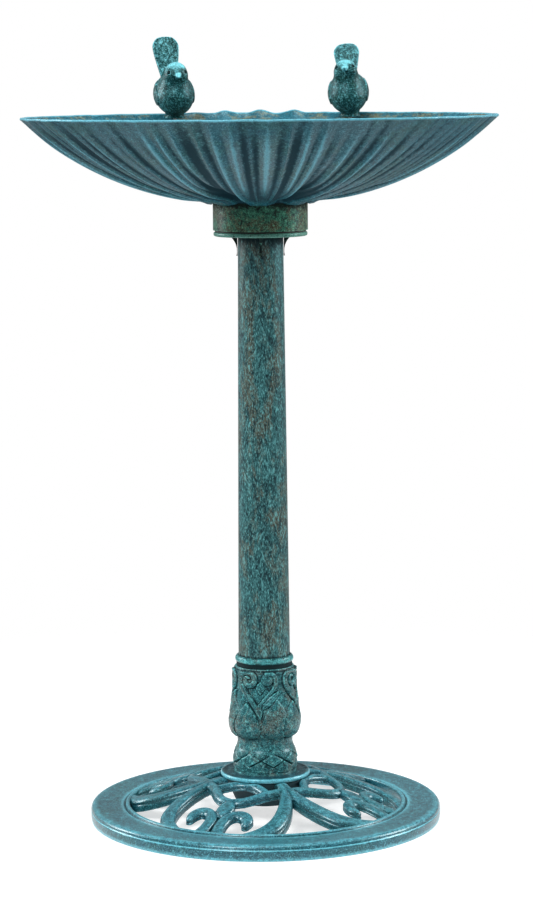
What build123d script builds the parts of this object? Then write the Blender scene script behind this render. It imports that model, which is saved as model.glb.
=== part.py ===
from build123d import *
import os
from math import cos, hypot, radians, sin, sqrt

# Bird bath: a wide shallow bowl with two birds, on a slim post with a round openwork foot.
# Millimetres. +Z is up, the ground is z = 0, the post's axis is Z and the front is -Y.

# ---- Driving dimensions ----

# Bowl
bowl_diameter = 500.0
bowl_depth = 88.0  # from the neck's plane up to the rim
bowl_belly = 20.0  # how far the underside bulges below the straight line from neck to rim
bowl_wall = 3.0
bowl_floor = 8.0  # solid floor above the collar, which takes the collar's screws

# Collar under the bowl, and the head that it drops over
collar_radius = 50.0
collar_height = 29.7
collar_wall = 5.5
collar_roof = 4.0
spigot_height = 21.0
spigot_wall = 3.0
spigot_clearance = 0.5  # radial, so that the bowl turns and lifts off
flange_inset = 0.5  # flange's edge inside the collar's
flange_edge_round = 1.8
flange_thickness = 4.5
seat_ring_thickness = 1.8
seat_ring_recess = 1.5  # how far the seat ring stays inside the flange's edge

# Fins under the head's flange
fin_count = 4
fin_thickness = 2.6
fin_height = 21.0
fin_reach = 8.5  # how far a fin stands out from the post below the flange
fin_hollow = 1.6  # how far its outer edge curves in
fin_toe = 1.2  # how far its lower end stands out
head_sleeve_depth = 25.0
head_sleeve_wall = 2.5

# Post
post_length = 480.0
post_foot_radius = 27.9
post_top_radius = 23.9
post_wall = 2.5
fit_clearance = 0.3  # radial, between fixed pieces that slide together

# Ferrule ring at the post's foot
ferrule_skirt_height = 4.5
ferrule_skirt = 1.9  # wall of the skirt
ferrule_bead_height = 7.2
ferrule_bead = 3.2  # how far the bead reaches out from the bore
ferrule_top_wall = 1.0

# Ornamental stem
stem_height = 115.3
stem_top_wall = 6.4  # wall round the post's socket
stem_shoulder_height = 91.0  # where the straight neck starts to swell
stem_belly_radius = 40.4
stem_belly_height = 57.0
stem_waist_radius = 31.2
stem_waist_height = 33.0
stem_foot_radius = 35.7
stem_foot_height = 16.0
stem_foot_taper = 1.0  # foot's edge on the saucer inside its widest part
stem_under_belly = (2.8, -3.0)  # how the outline leaves the straight line, waist to belly
stem_over_foot = (0.9, 1.0)  # and foot to waist
stem_wall = 4.5
stem_shelf = 6.0  # plate that the post stands on
post_socket_depth = 20.3

# Saucer between stem and base
saucer_overhang = 2.1  # saucer's edge beyond the hub's plate
saucer_thickness = 5.0
saucer_edge_round = 2.0
saucer_spigot_height = 6.0

# Base
base_diameter = 376.0
base_rise = 46.0  # top of the hub above the ground
ring_width = 42.0
ring_height = 17.0
ring_skin = 5.0
ring_edge_round = 3.5
bead_radius = 3.0
bead_sink = 0.5  # bead's middle below the ring's top
hub_radius = 40.0
hub_lip = 6.0  # hub's plate beyond its wall
hub_plate = 5.0
hub_wall = 4.0
hub_ground_gap = 14.0
bar_thickness = 13.0  # depth of the openwork's bars
bar_sink = 1.0  # bars' tops below the ring's top where they meet it
bar_root = 3.0  # how far the bars run into the ring
arm_width = 15.5
volute_width = 12.5
volute_end_length = 19.0
volute_end_width = 14.0
strap_width = 9.5
bud_length = 19.0
bud_width = 17.0
bud_stand = 2.2  # bud's root outside the middle of the strap that carries it
dome_bulge = 9.0  # how far the openwork's top bulges above the straight line from hub to ring
pattern_count = 4
pattern_turn = -24.5  # the first motif's centre line, degrees from +X

# Birds
bird_inset = 24.0  # plinth's centre inside the rim
bird_spots = (("left_bird", 114.9, 10.0), ("right_bird", 63.5, -5.0))  # place round the rim, heading
bird_land_drop = 3.5  # flat land for the plinth, below the rim
plinth_radius = 10.5
plinth_height = 10.0
land_margin = 1.5
bird_body_radius = 23.0
bird_body_height = 31.0  # body's middle above the land
bird_body_pitch = 28.0
bird_breast = 26.0  # body's middle to the breast, along the body
bird_rump = 36.0  # and to the rump
bird_widest = 3.7  # and to its widest section, towards the breast
bird_head_radius = 12.6
bird_head_forward = 19.0
bird_head_height = 48.5
bird_neck_radius = 14.0
bird_neck_forward = 11.8
bird_neck_height = 40.0
bird_beak_length = 10.0
bird_beak_radius = 4.0
bird_beak_tip = 0.6
bird_beak_sink = 1.5  # how deep the beak's root is in the head
tail_length = 53.0
tail_root_width = 18.0
tail_tip_width = 28.0
tail_tip_round = 6.0  # how far the tip's arc stands up
tail_thickness = 3.5
tail_pitch = 70.0
tail_root_back = 20.0
tail_root_height = 38.5

# Fasteners
rod_radius = 4.0
rod_clearance = 0.5
rod_end_reach = 6.0  # rod beyond each nut
rod_end_chamfer = 0.8
nut_wall = 2.5  # least wall of a nut round the rod
nut_thickness = 6.5
washer_width = 3.5
washer_thickness = 1.6
screw_radius = 1.9
screw_clearance = 0.1
screw_head_lip = 1.9  # head's edge beyond the shank
screw_head_height = 2.5
screw_head_round = 1.1
screw_bite = 5.0  # thread length in the bowl's floor or a bird's plinth
screw_tip_gap = 0.5  # collar screw's hole beyond its tip
plinth_screw_gap = 1.0  # and a bird's
collar_screw_count = 4
collar_screw_circle = 28.0
seal_lip = 0.6  # seal's edge beyond the screw's head
seal_thickness = 1.5
land_thickness = 13.5  # bowl material that a bird's screw passes through

# ---- Heights of the stack, from the ground up ----
hub_top = base_rise
saucer_top = hub_top + saucer_thickness
stem_top = saucer_top + stem_height
post_foot = stem_top - post_socket_depth
post_top = post_foot + post_length
flange_top = post_top + flange_thickness
collar_foot = flange_top + seat_ring_thickness
neck = collar_foot + collar_height
rim = neck + bowl_depth
floor_top = neck + bowl_floor
land = rim - bird_land_drop
land_bottom = land - land_thickness

# ---- Radii that follow from what fits together ----
bowl_radius = bowl_diameter / 2
base_radius = base_diameter / 2
ring_inner = base_radius - ring_width
collar_bore = collar_radius - collar_wall
spigot_radius = collar_bore - spigot_clearance
flange_radius = collar_radius - flange_inset
stem_socket = post_foot_radius + fit_clearance
stem_top_radius = stem_socket + stem_top_wall
stem_bore = stem_waist_radius - stem_wall
hub_plate_radius = hub_radius + hub_lip
saucer_radius = hub_plate_radius + saucer_overhang
rod_hole_radius = rod_radius + rod_clearance
washer_radius = rod_hole_radius + washer_width
screw_hole_radius = screw_radius + screw_clearance
screw_head_radius = screw_radius + screw_head_lip
seal_radius = screw_head_radius + seal_lip


def post_radius(height):
    """Outside radius of the tapered post at a height."""
    share = (height - post_foot) / post_length
    return post_foot_radius + (post_top_radius - post_foot_radius) * share


# The bowl's wall is an arc from the neck to the rim. Its centre lies above the chord.
chord = hypot(bowl_radius - collar_radius, bowl_depth)
wall_arc = (chord**2 / 4 + bowl_belly**2) / (2 * bowl_belly)
wall_centre_r = (bowl_radius + collar_radius) / 2 - (wall_arc - bowl_belly) * bowl_depth / chord
wall_centre_z = (rim + neck) / 2 + (wall_arc - bowl_belly) * (bowl_radius - collar_radius) / chord


def wall_point(height, inset=0.0):
    """Point (radius, height) of the bowl's wall, inset from its outside."""
    return wall_centre_r + sqrt((wall_arc - inset) ** 2 - (wall_centre_z - height) ** 2), height


def bird_place(angle):
    """Centre of a bird's land, at an angle round the rim."""
    reach = bowl_radius - bird_inset
    return reach * cos(radians(angle)), reach * sin(radians(angle))


bird_places = [bird_place(angle) for name, angle, heading in bird_spots]

os.makedirs("parts", exist_ok=True)


def finish(solid, name):
    """Label a finished piece and write it."""
    solid.label = name
    export_step(solid, f"parts/{name}.step")


# ---- Bowl: turned shell with two lands for the birds ----
with BuildPart() as bowl:
    with BuildSketch(Plane.XZ):
        with BuildLine():
            Polyline((0, floor_top), (0, neck), (collar_radius, neck))
            ThreePointArc((collar_radius, neck), wall_point(neck + bowl_depth / 2), (bowl_radius, rim))
            Line((bowl_radius, rim), wall_point(rim, bowl_wall))
            ThreePointArc(
                wall_point(rim, bowl_wall),
                wall_point((rim + floor_top) / 2, bowl_wall),
                wall_point(floor_top, bowl_wall),
            )
            Line(wall_point(floor_top, bowl_wall), (0, floor_top))
        make_face()
    revolve(axis=Axis.Z)
    # lands: short posts from the wall up to a flat top, with a spot face for the screw below
    with BuildSketch(Plane.XY.offset(land_bottom)):
        with Locations(*bird_places):
            Circle(plinth_radius + land_margin)
    extrude(amount=land_thickness)
    with BuildSketch(Plane.XY.offset(land)):
        with Locations(*bird_places):
            Circle(plinth_radius + fit_clearance)
    extrude(amount=bird_land_drop * 2, mode=Mode.SUBTRACT)
    with BuildSketch(Plane.XY.offset(land_bottom)):
        with Locations(*bird_places):
            Circle(seal_radius + fit_clearance)
    extrude(amount=-land_thickness * 2, mode=Mode.SUBTRACT)
    with BuildSketch(Plane.XY.offset(land_bottom)):
        with Locations(*bird_places):
            Circle(screw_hole_radius)
    extrude(amount=land_thickness, mode=Mode.SUBTRACT)
    with BuildSketch(Plane.XY.offset(neck)):
        with PolarLocations(collar_screw_circle, collar_screw_count):
            Circle(screw_hole_radius)
    extrude(amount=screw_bite + screw_tip_gap, mode=Mode.SUBTRACT)
finish(bowl.part, "bowl")

# ---- Collar: round cap that drops over the head's spigot ----
with BuildPart() as bowl_collar:
    with BuildSketch(Plane.XY.offset(collar_foot)):
        Circle(collar_radius)
    extrude(amount=collar_height)
    with BuildSketch(Plane.XY.offset(collar_foot)):
        Circle(collar_bore)
    extrude(amount=collar_height - collar_roof, mode=Mode.SUBTRACT)
    with BuildSketch(Plane.XY.offset(neck)):
        with PolarLocations(collar_screw_circle, collar_screw_count):
            Circle(screw_hole_radius)
    extrude(amount=-collar_roof, mode=Mode.SUBTRACT)
finish(bowl_collar.part, "bowl_collar")

# ---- Seat ring between the flange and the collar ----
with BuildPart() as seat_ring:
    with BuildSketch(Plane.XY.offset(flange_top)):
        Circle(flange_radius - seat_ring_recess)
        Circle(collar_bore, mode=Mode.SUBTRACT)
    extrude(amount=seat_ring_thickness)
finish(seat_ring.part, "seat_ring")

# ---- Post head: flange, spigot above, sleeve below and fins round the post ----
with BuildPart() as post_head:
    with BuildSketch(Plane.XY.offset(post_top)):
        Circle(flange_radius)
    extrude(amount=flange_thickness)
    with BuildSketch(Plane.XY.offset(flange_top)):
        Circle(spigot_radius)
        Circle(spigot_radius - spigot_wall, mode=Mode.SUBTRACT)
    extrude(amount=spigot_height)
    sleeve_radius = post_top_radius - post_wall - fit_clearance
    with BuildSketch(Plane.XY.offset(post_top)):
        Circle(sleeve_radius)
        Circle(sleeve_radius - head_sleeve_wall, mode=Mode.SUBTRACT)
    extrude(amount=-head_sleeve_depth)
    with BuildSketch(Plane.XY.offset(post_top)):
        Circle(rod_hole_radius)
    extrude(amount=flange_thickness, mode=Mode.SUBTRACT)
    fin_foot = post_top - fin_height
    fin_root = post_radius(fin_foot) + fit_clearance
    fin_tip = fin_root + fin_reach
    fin_waist = ((fin_root + fin_tip) / 2 - fin_hollow, post_top - fin_height / 3)
    toe = (fin_root + fin_toe, fin_foot)
    for index in range(fin_count):
        way = Vector(1, 0, 0).rotate(Axis.Z, 360 / fin_count * index)
        with BuildSketch(Plane(origin=(0, 0, 0), x_dir=way, z_dir=way.cross(Vector(0, 0, 1)))):
            with BuildLine():
                Polyline(toe, (fin_root, fin_foot), (fin_root, post_top), (fin_tip, post_top))
                ThreePointArc((fin_tip, post_top), fin_waist, toe)
            make_face()
        extrude(amount=fin_thickness / 2, both=True)
    fillet(post_head.faces().filter_by(Plane.XY).edges().filter_by(
        lambda edge: edge.geom_type == GeomType.CIRCLE and abs(edge.radius - flange_radius) < 0.01
    ), flange_edge_round)
finish(post_head.part, "post_head")

# ---- Post: tapered tube ----
with BuildPart() as post:
    with BuildSketch(Plane.XZ):
        Polygon(
            (post_foot_radius - post_wall, post_foot),
            (post_foot_radius, post_foot),
            (post_top_radius, post_top),
            (post_top_radius - post_wall, post_top),
            align=None,
        )
    revolve(axis=Axis.Z)
finish(post.part, "post")

# ---- Ferrule ring: skirt on the stem's top edge and a half-round bead above it ----
with BuildPart() as ferrule_ring:
    ferrule_bore = post_radius(stem_top) + fit_clearance
    bead_foot = stem_top + ferrule_skirt_height
    bead_top = bead_foot + ferrule_bead_height
    with BuildSketch(Plane.XZ):
        with BuildLine():
            Polyline(
                (ferrule_bore + ferrule_skirt, bead_foot),
                (ferrule_bore + ferrule_skirt, stem_top),
                (ferrule_bore, stem_top),
                (ferrule_bore, bead_top),
                (ferrule_bore + ferrule_top_wall, bead_top),
            )
            ThreePointArc(
                (ferrule_bore + ferrule_top_wall, bead_top),
                (ferrule_bore + ferrule_bead, (bead_top + bead_foot) / 2),
                (ferrule_bore + ferrule_skirt, bead_foot),
            )
        make_face()
    revolve(axis=Axis.Z)
finish(ferrule_ring.part, "ferrule_ring")

# ---- Ornamental stem: turned outline over a plain bore, with a shelf under the post ----
with BuildPart() as leaf_stem:
    with BuildSketch(Plane.XZ):
        belly = (stem_belly_radius, saucer_top + stem_belly_height)
        waist = (stem_waist_radius, saucer_top + stem_waist_height)
        foot = (stem_foot_radius, saucer_top + stem_foot_height)
        under_belly = (Vector(*belly) + Vector(*waist)) / 2 + Vector(*stem_under_belly)
        over_foot = (Vector(*waist) + Vector(*foot)) / 2 + Vector(*stem_over_foot)
        with BuildLine():
            Polyline((0, saucer_top), (stem_foot_radius - stem_foot_taper, saucer_top), foot)
            Spline(foot, over_foot, waist, tangents=((0, 1), (0, 1)))
            Spline(waist, under_belly, belly, tangents=((0, 1), (0, 1)))
            Spline(belly, (stem_top_radius, saucer_top + stem_shoulder_height), tangents=((0, 1), (0, 1)))
            Polyline(
                (stem_top_radius, saucer_top + stem_shoulder_height),
                (stem_top_radius, stem_top),
                (0, stem_top),
                (0, saucer_top),
            )
        make_face()
    revolve(axis=Axis.Z)
    with BuildSketch(Plane.XY.offset(saucer_top)):
        Circle(stem_bore)
    extrude(amount=post_foot - stem_shelf - saucer_top, mode=Mode.SUBTRACT)
    with BuildSketch(Plane.XY.offset(post_foot)):
        Circle(stem_socket)
    extrude(amount=post_socket_depth, mode=Mode.SUBTRACT)
    with BuildSketch(Plane.XY.offset(post_foot)):
        Circle(rod_hole_radius)
    extrude(amount=-stem_shelf, mode=Mode.SUBTRACT)
finish(leaf_stem.part, "leaf_stem")

# ---- Saucer: round flange that carries the stem on the hub ----
with BuildPart() as base_saucer:
    with BuildSketch(Plane.XY.offset(hub_top)):
        Circle(saucer_radius)
    extrude(amount=saucer_thickness)
    fillet(base_saucer.edges().filter_by(GeomType.CIRCLE).group_by(Axis.Z)[-1], saucer_edge_round)
    with BuildSketch(Plane.XY.offset(saucer_top)):
        Circle(stem_bore - fit_clearance)
    extrude(amount=saucer_spigot_height)
    with BuildSketch(Plane.XY.offset(hub_top)):
        Circle(rod_hole_radius)
    extrude(amount=saucer_thickness + saucer_spigot_height, mode=Mode.SUBTRACT)
finish(base_saucer.part, "base_saucer")


# ---- Base: ring, hub and the openwork between them, one casting ----
def polar(radius, angle):
    """Plan point at a radius and an angle in degrees."""
    return radius * cos(radians(angle)), radius * sin(radians(angle))


def reach_radius(reach):
    """Radius of a reach: 0 is the hub's edge and 1 the ring's inner edge."""
    return hub_plate_radius + (ring_inner - hub_plate_radius) * reach


def spot(reach, angle):
    """Plan point at a reach and an angle in degrees."""
    return polar(reach_radius(reach), angle)


def strip(width, *marks):
    """Bar of constant width along a smooth line through the marks, with round ends."""
    points = [spot(reach, angle) for reach, angle in marks]
    with BuildLine() as line:
        Spline(*points)
    trace(line.line, line_width=width)
    with Locations(points[0], points[-1]):
        Circle(width / 2)


def motif(centre):
    """One quarter of the openwork, drawn on both sides of its centre line."""
    for side in (-1, 1):
        # loop arm: from the ring in to its neighbour's arm, and beside it to the hub
        strip(arm_width, (1.01, centre + 17 * side), (0.84, centre + 27.5 * side),
              (0.59, centre + 34.8 * side), (0.29, centre + 41 * side), (-0.04, centre + 42 * side))
        # volute: from the ring in beside the centre line, over and outwards to a thick round end
        strip(volute_width, (1.03, centre + 4.6 * side), (0.92, centre + 3.5 * side),
              (0.8, centre + 3.4 * side), (0.71, centre + 4.6 * side), (0.65, centre + 7.2 * side),
              (0.634, centre + 10.6 * side), (0.67, centre + 14 * side))
        with Locations(Location((*spot(0.73, centre + 15.2 * side), 0), (0, 0, centre + 15.2 * side))):
            Ellipse(volute_end_length / 2, volute_end_width / 2)
        # diamond beside the hub: chevron outside, chevron inside, joined to the arms by a band
        with BuildLine() as diamond:
            Polyline(spot(0.43, centre), spot(0.19, centre + 25 * side), spot(-0.02, centre + 8 * side))
        trace(diamond.line, line_width=strap_width)
        strip(strap_width, (0.19, centre + 25 * side), (0.2, centre + 32 * side),
              (0.19, centre + 41 * side))
    with Locations(spot(0.43, centre)):
        Circle(strap_width / 2)
    bud_middle = polar(reach_radius(0.43) + bud_stand + bud_length / 2, centre)
    with Locations(Location((*bud_middle, 0), (0, 0, centre))):
        Ellipse(bud_length / 2, bud_width / 2)


with BuildPart() as base:
    with BuildSketch():
        for index in range(pattern_count):
            motif(pattern_turn + 360 / pattern_count * index)
    extrude(amount=base_rise)
    # the openwork is the part of those bars inside a domed slab
    outer_top = ring_height - bar_sink
    middle_radius = (hub_radius + ring_inner) / 2
    middle_top = (base_rise + outer_top) / 2 + dome_bulge
    root_radius = ring_inner + bar_root
    with BuildSketch(Plane.XZ):
        with BuildLine():
            Line((hub_radius, base_rise - bar_thickness), (hub_radius, base_rise))
            ThreePointArc((hub_radius, base_rise), (middle_radius, middle_top), (root_radius, outer_top))
            Line((root_radius, outer_top), (root_radius, outer_top - bar_thickness))
            ThreePointArc(
                (root_radius, outer_top - bar_thickness),
                (middle_radius, middle_top - bar_thickness),
                (hub_radius, base_rise - bar_thickness),
            )
        make_face()
    revolve(axis=Axis.Z, mode=Mode.INTERSECT)
    # ring: channel open below, round outer edge, bead round the inner edge
    with BuildSketch(Plane.XZ):
        Polygon(
            (ring_inner, 0), (ring_inner, ring_height), (base_radius, ring_height), (base_radius, 0),
            (base_radius - ring_skin, 0), (base_radius - ring_skin, ring_height - ring_skin),
            (ring_inner + ring_skin, ring_height - ring_skin), (ring_inner + ring_skin, 0),
            align=None,
        )
    revolve(axis=Axis.Z)
    fillet(base.edges().filter_by(
        lambda edge: edge.geom_type == GeomType.CIRCLE and abs(edge.radius - base_radius) < 0.01
    ).sort_by(Axis.Z)[-1], ring_edge_round)
    with BuildSketch(Plane.XZ):
        with Locations((ring_inner + bead_radius, ring_height - bead_sink)):
            Circle(bead_radius)
    revolve(axis=Axis.Z)
    # hub: plate under the saucer and a round wall below it
    with BuildSketch(Plane.XZ):
        Polygon(
            (0, hub_top), (hub_plate_radius, hub_top), (hub_plate_radius, hub_top - hub_plate),
            (hub_radius, hub_top - hub_plate), (hub_radius, hub_ground_gap),
            (hub_radius - hub_wall, hub_ground_gap), (hub_radius - hub_wall, hub_top - hub_plate),
            (0, hub_top - hub_plate),
            align=None,
        )
    revolve(axis=Axis.Z)
    with BuildSketch(Plane.XY.offset(hub_top)):
        Circle(rod_hole_radius)
    extrude(amount=-hub_plate, mode=Mode.SUBTRACT)
finish(base.part, "base")

# ---- Birds: one mould, used twice ----
with BuildPart() as bird:
    Cylinder(plinth_radius, plinth_height, align=(Align.CENTER, Align.CENTER, Align.MIN))
    # plump body, turned about an axis that rises towards the tail
    body_axis = Vector(0, cos(radians(bird_body_pitch)), sin(radians(bird_body_pitch)))
    body_middle = Vector(0, 0, bird_body_height)
    with BuildSketch(Plane(origin=body_middle, x_dir=body_axis, z_dir=(1, 0, 0))):
        with BuildLine():
            Spline(
                (-bird_breast, 0),
                (-bird_widest, bird_body_radius),
                (bird_rump, 0),
                tangents=((0, 1), (1, -0.75)),
            )
            Line((bird_rump, 0), (-bird_breast, 0))
        make_face()
    revolve(axis=Axis(body_middle, body_axis))
    with Locations((0, -bird_head_forward, bird_head_height)):
        Sphere(bird_head_radius)
    with Locations((0, -bird_neck_forward, bird_neck_height)):
        Sphere(bird_neck_radius)
    beak_root = -bird_head_forward - bird_head_radius + bird_beak_sink
    with Locations(Location((0, beak_root, bird_head_height), (90, 0, 0))):
        Cone(
            bird_beak_radius, bird_beak_tip, bird_beak_length,
            align=(Align.CENTER, Align.CENTER, Align.MIN),
        )
    # tail: thin fan that widens to a round tip
    tail_way = Vector(0, cos(radians(tail_pitch)), sin(radians(tail_pitch)))
    tail_plane = Plane(
        origin=(0, tail_root_back, tail_root_height),
        x_dir=(1, 0, 0),
        z_dir=Vector(1, 0, 0).cross(tail_way),
    )
    with BuildSketch(tail_plane):
        with BuildLine():
            left_corner = (-tail_tip_width / 2, tail_length - tail_tip_round)
            right_corner = (tail_tip_width / 2, tail_length - tail_tip_round)
            Polyline(left_corner, (-tail_root_width / 2, 0), (tail_root_width / 2, 0), right_corner)
            ThreePointArc(right_corner, (0, tail_length), left_corner)
        make_face()
    extrude(amount=tail_thickness / 2, both=True)
    with BuildSketch():
        Circle(screw_hole_radius)
    extrude(amount=screw_bite + plinth_screw_gap, mode=Mode.SUBTRACT)

for (name, angle, heading), place in zip(bird_spots, bird_places):
    finish(bird.part.moved(Location((*place, land), (0, 0, heading))), name)


# ---- Fasteners ----
def washer(outer, thickness, foot):
    """Flat round washer for the tie rod."""
    with BuildPart() as ring:
        with BuildSketch(Plane.XY.offset(foot)):
            Circle(outer)
            Circle(rod_hole_radius, mode=Mode.SUBTRACT)
        extrude(amount=thickness)
    return ring.part


def nut(foot):
    """Hexagon nut on the tie rod."""
    with BuildPart() as hexagon:
        with BuildSketch(Plane.XY.offset(foot)):
            RegularPolygon(rod_radius + nut_wall, 6, major_radius=False)
            Circle(rod_radius, mode=Mode.SUBTRACT)
        extrude(amount=nut_thickness)
    return hexagon.part


bottom_washer_foot = hub_top - hub_plate - washer_thickness
bottom_nut_foot = bottom_washer_foot - nut_thickness
top_nut_foot = flange_top + washer_thickness

with BuildPart() as tie_rod:
    with BuildSketch(Plane.XY.offset(bottom_nut_foot - rod_end_reach)):
        Circle(rod_radius)
    extrude(amount=top_nut_foot + nut_thickness + 2 * rod_end_reach - bottom_nut_foot)
    chamfer(tie_rod.edges().filter_by(GeomType.CIRCLE), rod_end_chamfer)
finish(tie_rod.part, "tie_rod")
finish(washer(washer_radius, washer_thickness, bottom_washer_foot), "bottom_washer")
finish(nut(bottom_nut_foot), "bottom_nut")
finish(washer(washer_radius, washer_thickness, flange_top), "top_washer")
finish(nut(top_nut_foot), "top_nut")


def screw_group(places, under_head, length):
    """Pan-head screws that point up, one solid for each place."""
    with BuildPart() as screws:
        with BuildSketch(Plane.XY.offset(under_head)):
            with Locations(*places):
                Circle(screw_head_radius)
        extrude(amount=-screw_head_height)
        fillet(screws.edges().filter_by(GeomType.CIRCLE).group_by(Axis.Z)[0], screw_head_round)
        with BuildSketch(Plane.XY.offset(under_head)):
            with Locations(*places):
                Circle(screw_radius)
        extrude(amount=length)
    return screws.part


collar_screw_places = [
    (collar_screw_circle * cos(radians(angle)), collar_screw_circle * sin(radians(angle)))
    for angle in range(0, 360, 360 // collar_screw_count)
]
finish(screw_group(collar_screw_places, neck - collar_roof, collar_roof + screw_bite), "collar_screws")
finish(
    screw_group(bird_places, land_bottom - seal_thickness, seal_thickness + land_thickness + screw_bite),
    "bird_screws",
)

with BuildPart() as bird_seals:
    with BuildSketch(Plane.XY.offset(land_bottom)):
        with Locations(*bird_places):
            Circle(seal_radius)
        with Locations(*bird_places):
            Circle(screw_hole_radius, mode=Mode.SUBTRACT)
    extrude(amount=-seal_thickness)
finish(bird_seals.part, "bird_seals")
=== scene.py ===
import math

import bpy
import numpy as np
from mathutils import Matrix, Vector


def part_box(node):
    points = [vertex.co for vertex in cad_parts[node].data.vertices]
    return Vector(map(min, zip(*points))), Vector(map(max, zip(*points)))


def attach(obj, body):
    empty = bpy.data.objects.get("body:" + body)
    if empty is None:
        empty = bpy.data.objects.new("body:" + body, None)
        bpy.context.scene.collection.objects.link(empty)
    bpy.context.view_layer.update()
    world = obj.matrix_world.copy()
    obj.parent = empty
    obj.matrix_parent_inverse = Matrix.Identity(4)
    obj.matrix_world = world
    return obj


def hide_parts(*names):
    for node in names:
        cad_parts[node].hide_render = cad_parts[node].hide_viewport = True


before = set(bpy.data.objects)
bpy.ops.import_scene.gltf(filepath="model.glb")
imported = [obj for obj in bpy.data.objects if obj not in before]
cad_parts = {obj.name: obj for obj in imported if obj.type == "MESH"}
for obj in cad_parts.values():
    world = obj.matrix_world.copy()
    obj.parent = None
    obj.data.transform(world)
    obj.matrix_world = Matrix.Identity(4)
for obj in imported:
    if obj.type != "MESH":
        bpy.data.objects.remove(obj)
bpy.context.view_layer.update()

# Bird bath: fluted bowl with two birds, on a slim post with a leafy stem and an openwork foot.
# Meshes are worked out in millimetres round the post's axis and written in metres.
# Angles are measured from +X, so the front of the bath, -Y, is at 270 degrees.

MM = 0.001
FRONT = math.radians(270)
draw = np.random.default_rng(20)


# ---------------------------------------------------------------- mesh helpers

def corners_mm(node):
    """Lowest and highest corner of a CAD node in millimetres."""
    low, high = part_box(node)
    return np.array(low) / MM, np.array(high) / MM


def smoothstep(low, high, value):
    share = np.clip((value - low) / (high - low), 0, 1)
    return share * share * (3 - 2 * share)


def build_mesh(name, points, quads, triangles=()):
    """Mesh object from points in millimetres and arrays of quads and triangles."""
    mesh = bpy.data.meshes.new(name)
    quads = np.asarray(quads, np.int32).reshape(-1, 4)
    triangles = np.asarray(triangles, np.int32).reshape(-1, 3)
    mesh.vertices.add(len(points))
    mesh.vertices.foreach_set("co", (np.asarray(points, np.float32) * MM).ravel())
    mesh.loops.add(quads.size + triangles.size)
    mesh.loops.foreach_set("vertex_index", np.concatenate([quads.ravel(), triangles.ravel()]))
    starts = np.concatenate([np.arange(len(quads)) * 4, quads.size + np.arange(len(triangles)) * 3])
    mesh.polygons.add(len(starts))
    mesh.polygons.foreach_set("loop_start", starts.astype(np.int32))
    mesh.update(calc_edges=True)
    mesh.validate()
    mesh.shade_smooth()
    piece = bpy.data.objects.new(name, mesh)
    bpy.context.scene.collection.objects.link(piece)
    return piece


def around(name, rows):
    """Skin over rings of points, rows x columns x 3, that close round the axis.

    A first or last ring with no width becomes one point."""
    rows = np.asarray(rows, float)
    count, columns = rows.shape[:2]
    tips = [index for index in (0, count - 1) if np.ptp(rows[index, :, :2]) < 1e-6]
    rings = [index for index in range(count) if index not in tips]
    points = rows[rings].reshape(-1, 3)
    index = np.arange(len(rings) * columns).reshape(len(rings), columns)
    nearer, further = index[:-1], index[1:]
    quads = np.stack([nearer, np.roll(nearer, -1, 1), np.roll(further, -1, 1), further], -1).reshape(-1, 4)
    triangles = []
    for tip in tips:
        ring = index[0] if tip == 0 else index[-1]
        after = np.roll(ring, -1)
        pole = np.full(columns, len(points))
        points = np.vstack([points, rows[tip, :1]])
        triangles.append(np.stack([pole, after, ring] if tip == 0 else [pole, ring, after], -1))
    if not tips:
        lower, upper = index[-1], index[0]
        closing = np.stack([lower, np.roll(lower, -1), np.roll(upper, -1), upper], -1)
        quads = np.vstack([quads, closing])
    return build_mesh(name, points, quads, np.concatenate(triangles) if triangles else ())


def turned(name, outline, columns=180):
    """Turned piece from an outline of (radius, height) points, counted from its underside outwards."""
    outline = np.asarray(outline, float)
    angle = np.linspace(0, 2 * np.pi, columns, endpoint=False)
    radius, height = outline[:, :1], outline[:, 1:]
    rows = np.stack([radius * np.cos(angle), radius * np.sin(angle), height + 0 * angle], -1)
    return around(name, rows)


def arc(centre, radius, start, end, count):
    """Points of an arc in an outline, angles in degrees."""
    angle = np.radians(np.linspace(start, end, count))
    return [(centre[0] + radius * c, centre[1] + radius * s) for c, s in zip(np.cos(angle), np.sin(angle))]


def line(start, end, count):
    """Points of a straight stretch of an outline, without its end."""
    return [tuple(np.array(start) + (np.array(end) - np.array(start)) * k / count) for k in range(count)]


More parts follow.
